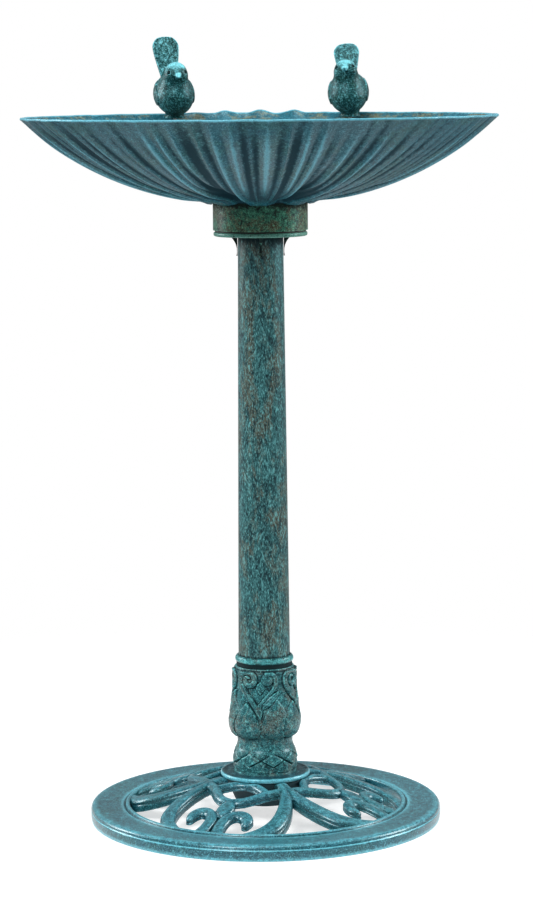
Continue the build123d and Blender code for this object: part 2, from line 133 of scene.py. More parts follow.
def skin(field, origin, step):
    """Closed quads where a sampled field, negative inside, crosses zero (surface nets)."""
    shape = np.array(field.shape) - 1
    inside = field < 0
    total = np.zeros(shape, np.int8)
    for corner in np.ndindex(2, 2, 2):
        total += inside[tuple(slice(c, c + n) for c, n in zip(corner, shape))]
    cells = np.argwhere((total > 0) & (total < 8))
    order = np.full(shape, -1, np.int32)
    order[tuple(cells.T)] = np.arange(len(cells))
    place = np.zeros((len(cells), 3))
    hits = np.zeros(len(cells))
    for axis in range(3):
        others = [a for a in range(3) if a != axis]
        for corner in np.ndindex(2, 2):
            first = cells.copy()
            first[:, others] += corner
            second = first.copy()
            second[:, axis] += 1
            here, there = field[tuple(first.T)], field[tuple(second.T)]
            crossed = (here < 0) != (there < 0)
            share = np.where(crossed, here / np.where(crossed, here - there, 1), 0)
            point = first.astype(float)
            point[:, axis] += share
            place += point * crossed[:, None]
            hits += crossed
    place = place / hits[:, None]
    quads = []
    for axis in range(3):
        second, third = (axis + 1) % 3, (axis + 2) % 3
        nodes = [slice(None)] * 3
        nodes[axis] = slice(0, -1)
        nodes[second] = nodes[third] = slice(1, -1)
        ahead = list(nodes)
        ahead[axis] = slice(1, None)
        here, there = inside[tuple(nodes)], inside[tuple(ahead)]
        for leaving in (True, False):
            edges = np.argwhere((here == leaving) & (there != leaving))
            edges[:, [second, third]] += 1
            ring = []
            for shift in ((-1, -1), (0, -1), (0, 0), (-1, 0)):
                cell = edges.copy()
                cell[:, second] += shift[0]
                cell[:, third] += shift[1]
                ring.append(order[tuple(cell.T)])
            quads.append(np.stack(ring if leaving else ring[::-1], -1))
    return np.asarray(origin) + place * step, np.vstack(quads)


def attribute(piece, name, values):
    """Number stored on each vertex of a piece, for its material."""
    layer = piece.data.attributes.new(name, "FLOAT", "POINT")
    layer.data.foreach_set("value", np.asarray(values, np.float32))


def points_of(piece):
    flat = np.zeros(len(piece.data.vertices) * 3, np.float32)
    piece.data.vertices.foreach_get("co", flat)
    return flat.reshape(-1, 3) / MM


def mark_relief(piece, passes, depth, extra=0.0):
    """Stores 'relief' on a piece: 1 on edges and crests, -1 in grooves, 0 on plain ground.

    It compares each vertex with the surface smoothed by that many passes; depth is the
    height in millimetres that counts as full relief. extra is added to the result."""
    mesh = piece.data
    edges = np.zeros(len(mesh.edges) * 2, np.int32)
    mesh.edges.foreach_get("vertices", edges)
    one, two = edges.reshape(-1, 2).T
    normals = np.zeros(len(mesh.vertices) * 3, np.float32)
    mesh.vertices.foreach_get("normal", normals)
    sharp = points_of(piece).astype(float)
    count = len(sharp)
    degree = np.bincount(one, minlength=count) + np.bincount(two, minlength=count)
    soft = sharp.copy()
    for _ in range(passes):
        spread = [np.bincount(one, soft[two, axis], count) + np.bincount(two, soft[one, axis], count)
                  for axis in range(3)]
        soft = 0.5 * soft + 0.5 * np.stack(spread, -1) / degree[:, None]
    height = ((sharp - soft) * normals.reshape(-1, 3)).sum(1)
    attribute(piece, "relief", np.clip(np.clip(height / depth, -1, 1) + extra, -1, 1))


def place(piece, body, slot_name, material, *nodes):
    """Puts a finished piece on its body, in place of CAD nodes, with its paint."""
    piece.data.materials.clear()
    piece.data.materials.append(material)
    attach(piece, body)
    if nodes:
        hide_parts(*nodes)
    return piece


# ---------------------------------------------------------------- paint

def add_node(tree, kind, inputs=None, **settings):
    """Shader node with its settings, its input values and its links."""
    node = tree.nodes.new(kind)
    for key, value in settings.items():
        setattr(node, key, value)
    for key, value in (inputs or {}).items():
        if isinstance(value, bpy.types.NodeSocket):
            tree.links.new(value, node.inputs[key])
        else:
            node.inputs[key].default_value = value
    return node


def blend(tree, factor, first, second):
    """Colour that goes from the first to the second as the factor goes from 0 to 1."""
    first_socket, second_socket = 6, 7
    node = add_node(tree, "ShaderNodeMix", {"Factor": factor, first_socket: first, second_socket: second},
                    data_type="RGBA")
    return node.outputs[2]


def calculate(tree, operation, first, second=0.0, third=0.0):
    node = add_node(tree, "ShaderNodeMath", {0: first, 1: second, 2: third}, operation=operation)
    return node.outputs[0]


def times(tree, first, second):
    return calculate(tree, "MULTIPLY", first, second)


def band(tree, value, low, high):
    """0 at low, 1 at high, smooth between; low may be the higher number."""
    node = add_node(tree, "ShaderNodeMapRange", {"Value": value, "From Min": low, "From Max": high},
                    interpolation_type="SMOOTHSTEP")
    return node.outputs["Result"]


def noise(tree, where, scale, detail=3.0, roughness=0.6, distortion=0.0):
    node = add_node(tree, "ShaderNodeTexNoise", {
        "Vector": where, "Scale": scale, "Detail": detail, "Roughness": roughness, "Distortion": distortion})
    return node.outputs["Fac"]


def new_group(name, inputs, outputs):
    """Empty shader node group with named sockets."""
    tree = bpy.data.node_groups.new(name, "ShaderNodeTree")
    for label, kind, default in inputs:
        socket = tree.interface.new_socket(label, in_out="INPUT", socket_type=kind)
        if default is not None:
            socket.default_value = default
    for label, kind in outputs:
        tree.interface.new_socket(label, in_out="OUTPUT", socket_type=kind)
    start = tree.nodes.new("NodeGroupInput").outputs
    end = tree.nodes.new("NodeGroupOutput").inputs
    return tree, start, end


def hue(red, green, blue):
    """Linear colour from the 0 to 255 values of a paint chart."""
    values = [c / 255 for c in (red, green, blue)]
    return (*[c / 12.92 if c <= 0.04045 else ((c + 0.055) / 1.055) ** 2.4 for c in values], 1.0)


FLOAT, COLOUR, VECTOR = "NodeSocketFloat", "NodeSocketColor", "NodeSocketVector"


def make_verdigris():
    """Sponged verdigris paint: mottled coat over a dark ground, pale paint dragged over what stands proud,
    and a painted reflection that makes upward-facing surfaces paler.

    Where is in metres, so the noises' scales are per metre."""
    tree, given, made = new_group(
        "verdigris",
        [("Where", VECTOR, None), ("Relief", FLOAT, 0.0), ("Top", FLOAT, 0.0),
         ("Ground", COLOUR, None), ("Coat", COLOUR, None), ("Patch", COLOUR, None), ("Brushed", COLOUR, None),
         ("Patches", FLOAT, None), ("Patch Size", FLOAT, None), ("Sponge", FLOAT, None),
         ("Speckle", FLOAT, None), ("Brushing", FLOAT, 0.6)],
        [("Color", COLOUR), ("Roughness", FLOAT), ("Gloss", FLOAT), ("Height", FLOAT)])
    where = given["Where"]
    cloud = noise(tree, where, given["Patch Size"], 4.0, 0.62, 0.8)
    fleck = noise(tree, where, 170.0, 4.0, 0.7, 0.4)
    grain = noise(tree, where, 420.0, 3.0, 0.7)
    speck = noise(tree, where, 1000.0, 2.0, 0.6)
    dabs = calculate(tree, "MULTIPLY_ADD", calculate(tree, "SUBTRACT", fleck, grain), 0.55, grain)
    # the coat and its clouds
    cloudy = calculate(tree, "MULTIPLY_ADD", calculate(tree, "SUBTRACT", fleck, 0.5), 0.5, cloud)
    patches = times(tree, band(tree, cloudy, 0.47, 0.6), given["Patches"])
    colour = blend(tree, patches, given["Coat"], given["Patch"])
    colour = blend(tree, times(tree, band(tree, dabs, 0.5, 0.4), given["Sponge"]), colour, given["Ground"])
    pale_dabs = times(tree, band(tree, dabs, 0.53, 0.63), given["Sponge"])
    colour = blend(tree, times(tree, pale_dabs, 0.7), colour, given["Brushed"])
    # what stands proud takes the pale paint, surfaces that face up take it as a painted reflection, and
    # grooves keep the dark ground
    proud_and_top_lit = calculate(tree, "MULTIPLY_ADD", given["Top"], 0.45, given["Relief"])
    uneven = times(tree, calculate(tree, "SUBTRACT", dabs, 0.5), given["Sponge"])
    proud_and_top_lit = calculate(tree, "MULTIPLY_ADD", uneven, 4.0, proud_and_top_lit)
    groove = band(tree, proud_and_top_lit, 0.05, -0.7)
    colour = blend(tree, times(tree, groove, 0.94), colour, given["Ground"])
    crest = times(tree, band(tree, proud_and_top_lit, 0.25, 1.05), given["Brushing"])
    colour = blend(tree, crest, colour, given["Brushed"])
    # fine speckle over all of it
    dark_speck = times(tree, band(tree, speck, 0.48, 0.36), given["Speckle"])
    colour = blend(tree, times(tree, dark_speck, 0.8), colour, given["Ground"])
    light_speck = times(tree, band(tree, speck, 0.54, 0.66), given["Speckle"])
    light_speck = times(tree, light_speck, calculate(tree, "SUBTRACT", 1.0, groove))
    colour = blend(tree, times(tree, light_speck, 0.6), colour, given["Brushed"])
    tree.links.new(colour, made["Color"])
    roughness = calculate(tree, "MULTIPLY_ADD", dabs, 0.4, 0.14)
    tree.links.new(calculate(tree, "MULTIPLY_ADD", groove, 0.45, roughness), made["Roughness"])
    tree.links.new(calculate(tree, "SUBTRACT", 1.0, groove), made["Gloss"])
    bumps = calculate(tree, "MULTIPLY_ADD", speck, 0.35, dabs)
    tree.links.new(calculate(tree, "MULTIPLY_ADD", crest, 0.35, bumps), made["Height"])
    return tree


verdigris = make_verdigris()
BUMP_STEP = 0.0008  # height of the paint's grain, metres
SHEEN = (0.45, 0.85, 0.95, 1.0)  # colour of the paint's reflections


def painted(name, where_scale=(1.0, 1.0, 1.0), relief=None, lining=None, gloss=0.4, coat=0.12, bump=0.5,
            **values):
    """Material in verdigris paint.

    relief makes the relief value from the coordinates; without it, the value comes from the
    mesh. lining is the colour of the patches inside a bowl. gloss and coat are the strengths
    of the paint's reflection and of the clear coat on all but its grooves."""
    material = bpy.data.materials.new(name)
    material.use_nodes = True
    tree = material.node_tree
    shader = tree.nodes["Principled BSDF"]
    coordinates = add_node(tree, "ShaderNodeTexCoord").outputs["Object"]
    mapping = add_node(tree, "ShaderNodeMapping", {"Vector": coordinates, "Scale": where_scale})
    normal = add_node(tree, "ShaderNodeNewGeometry").outputs["Normal"]
    facing_up = add_node(tree, "ShaderNodeSeparateXYZ", {"Vector": normal}).outputs["Z"]
    if relief:
        height = relief(tree, coordinates)
    else:
        height = add_node(tree, "ShaderNodeAttribute", attribute_name="relief").outputs["Fac"]
    paint = add_node(tree, "ShaderNodeGroup", node_tree=verdigris)
    tree.links.new(mapping.outputs["Vector"], paint.inputs["Where"])
    tree.links.new(height, paint.inputs["Relief"])
    # painted reflection: the more a surface faces up, the paler its paint
    tree.links.new(band(tree, facing_up, 0.2, 0.95), paint.inputs["Top"])
    for label, value in values.items():
        paint.inputs[label.replace("_", " ")].default_value = value
    if lining:
        inside = add_node(tree, "ShaderNodeAttribute", attribute_name="inside").outputs["Fac"]
        tree.links.new(blend(tree, inside, values["Patch"], lining), paint.inputs["Patch"])
        tree.links.new(calculate(tree, "MAXIMUM", inside, values["Patches"]), paint.inputs["Patches"])
    tree.links.new(paint.outputs["Color"], shader.inputs["Base Color"])
    tree.links.new(paint.outputs["Roughness"], shader.inputs["Roughness"])
    bumps = add_node(tree, "ShaderNodeBump", {
        "Strength": bump, "Distance": BUMP_STEP, "Height": paint.outputs["Height"]})
    tree.links.new(bumps.outputs["Normal"], shader.inputs["Normal"])
    shader.inputs["Specular IOR Level"].default_value = gloss
    shader.inputs["Specular Tint"].default_value = SHEEN
    tree.links.new(times(tree, paint.outputs["Gloss"], coat), shader.inputs["Coat Weight"])
    shader.inputs["Coat Roughness"].default_value = 0.2
    return material


def metal_or_rubber(name, colour, metallic, roughness):
    """Small hidden parts: one colour with a fine grain."""
    material = bpy.data.materials.new(name)
    material.use_nodes = True
    tree = material.node_tree
    shader = tree.nodes["Principled BSDF"]
    coordinates = add_node(tree, "ShaderNodeTexCoord").outputs["Object"]
    grain = noise(tree, coordinates, 900.0)
    darker = (*[c * 0.55 for c in colour[:3]], 1.0)
    tree.links.new(blend(tree, grain, colour, darker), shader.inputs["Base Color"])
    shader.inputs["Metallic"].default_value = metallic
    tree.links.new(calculate(tree, "MULTIPLY_ADD", grain, 0.25, roughness - 0.12), shader.inputs["Roughness"])
    bumps = add_node(tree, "ShaderNodeBump", {"Strength": 0.2, "Distance": 0.0003, "Height": grain})
    tree.links.new(bumps.outputs["Normal"], shader.inputs["Normal"])
    return material


def height_of(tree, coordinates):
    """Height above the ground in metres."""
    return add_node(tree, "ShaderNodeSeparateXYZ", {"Vector": coordinates}).outputs["Z"]


def radius_of(tree, coordinates):
    """Distance from the post's axis in metres."""
    flat = add_node(tree, "ShaderNodeVectorMath", {0: coordinates, 1: (1, 1, 0)}, operation="MULTIPLY")
    return add_node(tree, "ShaderNodeVectorMath", {0: flat.outputs[0]}, operation="LENGTH").outputs["Value"]


# ---------------------------------------------------------------- bowl

BOWL_COLUMNS = 1080
RIBS = 80
LOBES = 8
WALL = 3.0
LIP = 0.9  # how much thinner the wall is at the rim
FLOOR = 8.0  # thickness over the collar
BELLY = 18.5  # bulge of the underside below the straight line from neck to rim
COLLAR_GAP = 0.3  # between the bowl's skin and the collar
RIB_HEIGHTS = [0.45, 0.65, 0.85, 1.0]
RIB_DEPTH = 3.6
INNER_RIB_DEPTH = 2.2
REAR_SMOOTHING = 0.75  # share of the inner ribs that the rear lacks
FOLD_DEPTH = 0.9
LOBE_DROP = 3.0  # how far the lobes hang over the collar
LOBE_REACH = 1.6
HOLLOW_DEPTH = ((50, 58, 70, 88, 115, 150, 190), (2, 8, 13, 12.5, 8, 3, 0))  # between lobes: radii, depths
HOLLOW_WIDTH = ((50, 76, 110, 165), (0.13, 0.12, 0.09, 0.05))  # radii, shares of a lobe
CUSPS = 20  # half as many as the crests that the rear rim's wave would have all the way round
CUSP_HEIGHT = 3.3


def ribs_round(angle):
    """Height 0 to 1 of the cast ribs round the bowl: sharp crests, uneven in place, width and height."""
    pitch = 2 * np.pi / RIBS
    shifts = draw.normal(0, 0.15, RIBS)
    heights = draw.choice(RIB_HEIGHTS, RIBS) * draw.uniform(0.85, 1.0, RIBS)
    left_widths = draw.uniform(0.36, 0.8, RIBS)
    right_widths = draw.uniform(0.36, 0.8, RIBS)
    position = (angle - FRONT) / pitch - 0.5
    nearest = np.round(position).astype(int)
    relief = np.zeros_like(angle)
    for offset in (-1, 0, 1):
        rib = (nearest + offset) % RIBS
        distance = position - (nearest + offset) - shifts[rib]
        width = np.where(distance > 0, right_widths[rib], left_widths[rib])
        crest = np.clip(1 - np.abs(distance) / width, 0, 1)
        relief = np.maximum(relief, heights[rib] * crest ** 1.3)
    return relief, (nearest % 2 == 0)


def folds_round(angle):
    """Slow uneven folds round the bowl, from -1 to 1."""
    waves = sum(draw.uniform(0.5, 1.0) * np.sin(k * angle + draw.uniform(0, 6.3)) for k in (17, 23, 29, 34))
    return waves / np.abs(waves).max()


def make_bowl():
    low, high = corners_mm("bowl")
    neck, rim, radius = low[2], high[2], high[0]
    collar = corners_mm("bowl_collar")[1][0]
    floor = neck + FLOOR
    chord = math.hypot(radius - collar, rim - neck)
    bend = (chord ** 2 / 4 + BELLY ** 2) / (2 * BELLY)
    centre_r = (radius + collar) / 2 - (bend - BELLY) * (rim - neck) / chord
    centre_z = (rim + neck) / 2 + (bend - BELLY) * (radius - collar) / chord
    first = math.atan2(collar - centre_r, centre_z - neck)
    last = math.atan2(radius - centre_r, centre_z - rim)
    angle = np.linspace(0, 2 * np.pi, BOWL_COLUMNS, endpoint=False)
    ribs, short = ribs_round(angle)
    # 0 at a joint of two lobes, 0.5 in the middle of a lobe
    from_joint = np.abs((angle - FRONT) / (2 * np.pi / LOBES) % 1 - 0.5)
    rear = np.exp(-(((angle - np.pi / 2) / math.radians(15)) ** 4))
    cusps = np.abs(np.cos(CUSPS * (angle - np.pi / 2))) ** 3
    edge_wave = rear * (CUSP_HEIGHT * cusps - 0.4) + (1 - rear) * 0.9 * (ribs - 0.4)
    folds = folds_round(angle)

    def wall(share, inset, rib_depth):
        """Ring of the wall, with its relief: share 0 at the neck to 1 at the rim, inset from the outside."""
        lean = first + (last - first) * share
        reach = centre_r + bend * math.sin(lean)
        spread = np.interp(reach, *HOLLOW_WIDTH)
        hollow = np.interp(reach, *HOLLOW_DEPTH) * np.exp(-np.abs(from_joint / spread) ** 1.7)
        size = np.interp(reach, (52, 80, 215, 244), (0.15, 1, 1, 0.4))
        crest = ribs * np.where(short, smoothstep(85, 150, reach), 1.0)
        out = rib_depth * size * (crest - 0.45) - hollow - inset
        out = out + FOLD_DEPTH * folds * smoothstep(58, 110, reach) * size
        lobe = (1 - smoothstep(52, 64, reach)) * np.cos(np.pi * (0.5 - from_joint))
        r = reach + out * math.sin(lean) + LOBE_REACH * lobe
        z = centre_z - bend * math.cos(lean) - out * math.cos(lean) - LOBE_DROP * lobe
        z = z + edge_wave * smoothstep(222, 250, reach)
        # painted shade: the hollows between the lobes are made darker
        relief = (1.9 * crest - 0.7 + 0.3 * folds) * size - 0.2 * hollow
        return r, z, relief

    ring = np.ones_like(angle)
    rings = [(0 * ring, neck * ring), ((collar + COLLAR_GAP) * ring, neck * ring)]
    relief = [-ring, -ring]
    for share in np.linspace(0, 0.992, 64) ** 0.92:
        r, z, mark = wall(share, 0, RIB_DEPTH)
        rings.append((np.maximum(r, collar + COLLAR_GAP), z))
        relief.append(mark)
    # the rounded rim
    for step_out, step_up, mark in ((0.9, 0.5, 0.9), (1.4, 1.5, 1.0), (0.9, 2.6, 1.0), (-1.0, 2.6, 0.7)):
        rings.append((r + step_out, z + step_up))
        relief.append(mark * ring)
    outside = len(rings)
    for share in np.linspace(0.985, 0.0, 40):
        shallow = INNER_RIB_DEPTH * (1 - REAR_SMOOTHING * rear)
        r, z, mark = wall(share, WALL - LIP * smoothstep(0.8, 1.0, share), shallow)
        rings.append((r, 0.5 * (z + floor + np.sqrt((z - floor) ** 2 + 6))))
        relief.append(-0.35 + 0.45 * mark * smoothstep(0.1, 0.3, share))
    rings += [(24.0 * ring, (floor + 0.3) * ring), (0 * ring, floor * ring)]
    relief += [-0.4 * ring, -0.4 * ring]
    rows = [np.stack([r * np.cos(angle), r * np.sin(angle), z], -1) for r, z in rings]
    piece = around("fluted_bowl", rows)
    marks = np.concatenate([*relief[1:-1], relief[0][:1], relief[-1][:1]])
    attribute(piece, "relief", np.clip(marks, -1, 1))
    inside = np.zeros((len(rings) - 2, BOWL_COLUMNS))
    inside[outside - 1:] = 1
    attribute(piece, "inside", [*inside.ravel(), 0, 1])
    return piece


# ---------------------------------------------------------------- base

MOTIFS = 4
MOTIF_TURN = -24.5
ARM_DEPTH = 13.0
SCROLL_DEPTH = 8.0
RING_WIDTH = 42.0
RING_TOP = 17.0
HUB_RADIUS = 45.0  # where the bars leave the hub
DOME_TOP = 47.5
BAR_SINK = 1.2  # bars' tops below the ring's top where they meet it
BAR_ROOT = 3.0  # how far the bars run into the ring
BAR_ROUNDING = 5.0
GROOVE_DEPTH = 1.3  # groove along the bars' sides
GROOVE_HALF_HEIGHT = 0.9  # half height of that groove


def dome(radius, ring_inner, hub_top):
    """Height of the openwork's top surface, from the hub out to the ring."""
    share = np.clip((radius - HUB_RADIUS) / (ring_inner + BAR_ROOT - HUB_RADIUS), 0, 1.1)
    high = DOME_TOP - (DOME_TOP - (RING_TOP - BAR_SINK)) * share ** 1.3
    return np.minimum(high, hub_top - 0.3 + 3 * smoothstep(46, 58, radius))


def bar_edge(x, y, points):
    """Distance to the edge of a bar, negative inside; its points are (x, y, half width)."""
    best = np.full(x.shape, 1e9)
    for start, end in zip(points[:-1], points[1:]):
        along = end - start
        share = ((x - start[0]) * along[0] + (y - start[1]) * along[1]) / (along[:2] @ along[:2])
        share = np.clip(share, 0, 1)
        reach = np.hypot(x - start[0] - along[0] * share, y - start[1] - along[1] * share)
        best = np.minimum(best, reach - start[2] - along[2] * share)
    return best


def smooth_line(points, count=6):
    """Points of a smooth line through the given ones."""
    points = np.array(points, float)
    padded = np.vstack([2 * points[0] - points[1], points, 2 * points[-1] - points[-2]])
    path = []
    for before, start, end, after in zip(padded, padded[1:], padded[2:], padded[3:]):
        for t in np.linspace(0, 1, count, endpoint=False):
            square = 2 * before - 5 * start + 4 * end - after
            cube = 3 * start - before - 3 * end + after
            path.append(0.5 * (2 * start + (end - before) * t + square * t ** 2 + cube * t ** 3))
    return np.array([*path, points[-1]])


def plan_line(marks, centre, side):
    """Smooth plan line through marks of radius, degrees from a motif's centre line and half width."""
    points = []
    for radius, degrees, half_width in marks:
        turn = math.radians(centre + degrees * side)
        points.append((radius * math.cos(turn), radius * math.sin(turn), half_width))
    return smooth_line(points)


# plan lines of the bars: radius, degrees from the middle of the motif, half width
ARM = [(42, 42.7, 5.2), (60, 43.0, 5.6), (75, 41.2, 6.4), (90, 38.2, 7.4), (105, 34.8, 8.2), (118, 31.5, 8.6),
       (130, 27.5, 8.6), (140, 22.0, 7.4), (147, 15.5, 5.6), (151, 10, 4.5)]
SCROLL = [(151, 4.6, 7.5), (138, 3.4, 7.0), (126, 3.3, 6.8), (117, 4.4, 6.4), (111, 7.2, 6.0),
          (109.4, 10.6, 6.2), (112.5, 13.8, 6.8), (118.5, 15.2, 6.8), (124.5, 14.8, 4.8)]
BUD = [(110, 0, 6.0), (105, 0, 9.4), (99, 0, 9.6), (94.5, 0, 7.4)]
RAFTER = [(87.5, 0, 5.0), (84, 8, 5.0), (77, 16, 5.2), (69, 25, 5.4)]
LINK = [(69, 25, 5.4), (66, 33, 5.4), (65, 42, 5.4)]
HOOK = [(69, 26, 5.4), (59, 21, 5.2), (51, 13, 5.0), (47.5, 5, 5.0), (46.5, 0, 5.0)]


def make_openwork():
    """Arms, scrolls and interlaced straps between hub and ring, cast as one net of round-topped bars."""
    high = corners_mm("base")[1]
    ring_inner = high[0] - RING_WIDTH
    step = 1.0
    half = ring_inner + 6
    span = np.arange(-half, half + step, step)
    x, y = np.meshgrid(span, span, indexing="ij")
    deep, shallow = np.full(x.shape, 1e9), np.full(x.shape, 1e9)
    for index in range(MOTIFS):
        centre = MOTIF_TURN + 360 / MOTIFS * index
        shallow = np.minimum(shallow, bar_edge(x, y, plan_line(BUD, centre, 1)))
        for side in (-1, 1):
            deep = np.minimum(deep, bar_edge(x, y, plan_line(ARM, centre, side)))
            shallow = np.minimum(shallow, bar_edge(x, y, plan_line(SCROLL, centre, side)))
            for strap in (RAFTER, LINK, HOOK):
                shallow = np.minimum(shallow, bar_edge(x, y, plan_line(strap, centre, side)))
    levels = np.arange(-ARM_DEPTH - 2, 3.5, step)

    def cast(plan, level, crown, depth):
        """Bar's section: round top over a groove, and a straight foot."""
        drop = np.clip(level + BAR_ROUNDING - crown, 0, BAR_ROUNDING)
        inset = BAR_ROUNDING - np.sqrt(np.maximum(BAR_ROUNDING ** 2 - drop ** 2, 0))
        groove = GROOVE_DEPTH * math.exp(-((level - crown + BAR_ROUNDING + 0.6) / GROOVE_HALF_HEIGHT) ** 2)
        return np.maximum(plan + inset + groove, np.maximum(level - crown, -depth - level))

    arm_crown, scroll_crown = 0.6, 0.4
    field = np.stack([np.minimum(cast(deep, level, arm_crown, ARM_DEPTH),
                                 cast(shallow, level, scroll_crown, SCROLL_DEPTH)) for level in levels], -1)
    points, quads = skin(field, (-half, -half, levels[0]), step)
    points[:, 2] += dome(np.hypot(points[:, 0], points[:, 1]), ring_inner, high[2])
    piece = build_mesh("openwork", points, quads)
    mark_relief(piece, 10, 1.3)
    return piece


def make_base_ring():
    outer, top = corners_mm("base")[1][0], RING_TOP
    inner = outer - RING_WIDTH
    edge = 5.0  # rounding of the outer edge
    outline = [(inner + 6, 3.0), (inner + 5, 0.0), (inner + 1.2, 0.0), (inner, 1.2)]
    outline += line((inner, 3), (inner, top - 2.5), 4)
    outline += arc((inner + 2.6, top - 1.0), 2.5, 180, 10, 9)
    outline += [(inner + 5.4, top - 2.2), (inner + 6.4, top - 1.6)]
    outline += line((inner + 7.6, top - 0.7), (outer - edge, top), 9)
    outline += arc((outer - edge, top - edge), edge, 90, 0, 9)
    outline += line((outer, top - edge), (outer, 1.4), 4)
    outline += [(outer - 0.6, 0.3), (outer - 1.4, 0.0), (outer - 4.6, 0.0), (outer - 5.0, 0.6)]
    outline += line((outer - 5, 2), (outer - 6, top - 6), 3)
    outline += line((outer - 9, top - 5), (inner + 9, top - 5), 4)
    piece = turned("base_ring", outline[::-1], 300)
    mark_relief(piece, 5, 0.8)
    return piece


def make_hub():
    top = corners_mm("base")[1][2]
    outline = [(4.5, top - 5), (34, top - 5), (33, top - 8), (28, 19), (28.6, 18), (31.2, 18), (32, 19),
               (36, 28), (41, top - 12), (44, top - 9), (46, top - 6), (46, top - 1), (45, top), (4.5, top)]
    piece = turned("hub", outline, 120)
    # painted shade: the hub, under the saucer and the bars, is painted dark all over
    attribute(piece, "relief", np.full(len(piece.data.vertices), -0.9))
    return piece


def make_saucer():
    low, high = corners_mm("base_saucer")
    foot, radius = low[2], high[0]
    outline = [(4.5, foot), (40, foot), (44, foot + 0.4)]
    outline += arc((radius - 2.9, foot + 2.7), 2.9, -70, 125, 14)
    outline += [(radius - 5.4, foot + 4.9), (radius - 8.0, foot + 4.6), (radius - 9.4, foot + 5.2),
                (radius - 12.0, foot + 5.6), (34, foot + 5.4), (30, foot + 5.0), (4.5, foot + 5.0)]
    piece = turned("saucer", outline, 180)
    reach = np.hypot(*points_of(piece)[:, :2].T)
    attribute(piece, "relief", -0.75 + 1.6 * smoothstep(radius - 2.6, radius - 0.4, reach))
    return piece


# ---------------------------------------------------------------- ornamental stem

STEM_COLUMNS = 480
STEM_ROWS = 236
STEM_MOTIFS = 4
HEART_AT = -8.5  # middle of the front heart, degrees from the front, and so on
TALL_LEAF_AT = 36.5
RIGHT_LEAF_AT = 21.3
LEFT_LEAF_AT = -33.5
RIGHT_LEAF_STRETCH = 40 / 45
SCALES = 8
SCALES_AT = -30
SCALE_RADIUS = 33  # of the foot that carries the scales
SCALE_SLOPE = 0.57
POST_GAP = 0.3


def rounded(depth, half_width):
    """Height 0 to 1 of a round section, from the depth inside its edge."""
    share = np.clip(depth / half_width, 0, 1)
    return np.sqrt(1 - (1 - share) ** 2)


def leaf_shape(u, v, outline):
    """Height 0 to 1 over a leaf, u across it; its outline is a run of (v, half width)."""
    width = np.interp(v, *np.array(outline).T, left=0, right=0)
    return np.sqrt(np.clip(1 - (u / np.maximum(width, 1e-3)) ** 2, 0, 1)) * (width > 0.05)


# outlines over the stem's height: height and radius of the stem, or height and half width of a leaf
STEM_OUTLINE = [(0, 34.0), (3, 33.0), (6, 33.2), (9, 33.8), (14, 33.6), (20, 32.2), (24, 31.0), (27, 29.9),
                (33, 29.6), (38, 29.8), (40.5, 31), (43, 34.0), (47, 35.6), (52, 36.6), (58, 36.8),
                (66, 35.4), (76, 33.6), (86, 32.4), (96, 31.9), (110, 31.8), (113, 32.2), (115.3, 31.3)]
FULL_LEAF = [(39.5, 0), (41, 8.5), (43, 12.5), (46, 15.2), (50, 16.5), (55, 16.4), (60, 14.6), (64, 12.4),
             (68, 9.8), (72, 7.0), (76, 3.8), (80, 0)]
TALL_LEAF = [(44, 0), (52, 9), (62, 13.6), (72, 14.6), (80, 12.6), (86, 8.6), (89.5, 4.6), (92, 0)]
# lines of the heart: distance across, height, half width
HEART_LEFT = [(1.2, 63.5, 1.0), (-1.5, 69, 1.8), (-4.6, 75, 2.4), (-9.8, 82.5, 2.7), (-16.4, 90, 2.9),
              (-21.0, 98, 3.0), (-22.6, 105, 3.0), (-19.4, 110.8, 2.9), (-13.0, 112.2, 2.7),
              (-7.2, 109.6, 2.8), (-5.4, 104.2, 2.9), (-8.0, 99.2, 2.8), (-13.2, 98.4, 2.4),
              (-16.6, 102.2, 2.1), (-15.6, 106.8, 1.8), (-11.8, 107.0, 1.6)]
HEART_RIGHT = [(1.5, 71, 1.2), (1.0, 77.5, 1.6), (4.4, 83.5, 1.8), (9.8, 89.4, 1.9), (14.2, 95, 2.0),
               (16.7, 101, 2.1), (16.0, 107.4, 2.1), (12.2, 110.8, 2.3), (7.4, 110.8, 2.8)]
SMALL_LEAF = [(3.4, 76.0, 2.6), (7.6, 79.6, 4.4), (12.0, 83.6, 4.4), (16.6, 88.2, 2.4), (19.0, 91.0, 0.6)]
WEDGE = [(0.2, 77, 2.6), (0.9, 71, 2.2), (1.4, 64, 0.5)]
HEART_BUD = [(89, 0), (92, 2.8), (95.5, 4.6), (99, 4.0), (102.8, 0)]


